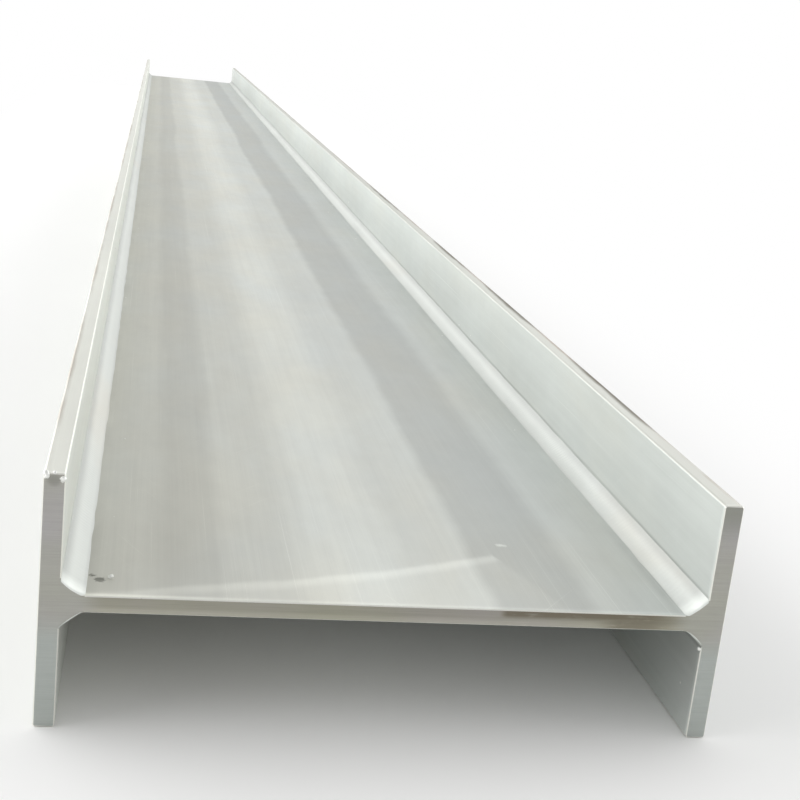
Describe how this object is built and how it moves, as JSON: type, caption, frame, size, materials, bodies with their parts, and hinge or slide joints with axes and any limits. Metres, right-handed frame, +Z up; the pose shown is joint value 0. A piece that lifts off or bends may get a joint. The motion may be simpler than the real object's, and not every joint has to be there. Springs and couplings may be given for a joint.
{
  "type": "stainless steel i-beam",
  "caption": "Stainless steel I-beam welded from flat plate: a level web between upright flanges, fillet welds in the inner corners and square-cut ends, for frames, supports and lintels.",
  "frame": {"origin": "on the floor, under the middle of the beam", "axes": "+X across the depth of the section, from the left flange to the right flange; +Y along the beam, from the near end to the far end; +Z up, from the flange edges it lies on to the upper flange edges"},
  "size_m": [0.4, 6, 0.15],
  "materials": {
    "plate": "hot-rolled stainless plate, annealed and pickled to a dull silver grey, with scuffs and saw-cut ends",
    "weld": "pickled stainless weld metal, brighter than the plate, with fine ripples"
  },
  "bodies": {
    "root": {"web_plate": "plate", "left_flange_plate": "plate", "right_flange_plate": "plate", "weld_bead_upper_left": "weld", "weld_bead_upper_right": "weld", "weld_bead_lower_left": "weld", "weld_bead_lower_right": "weld"}
  },
  "joints": []
}
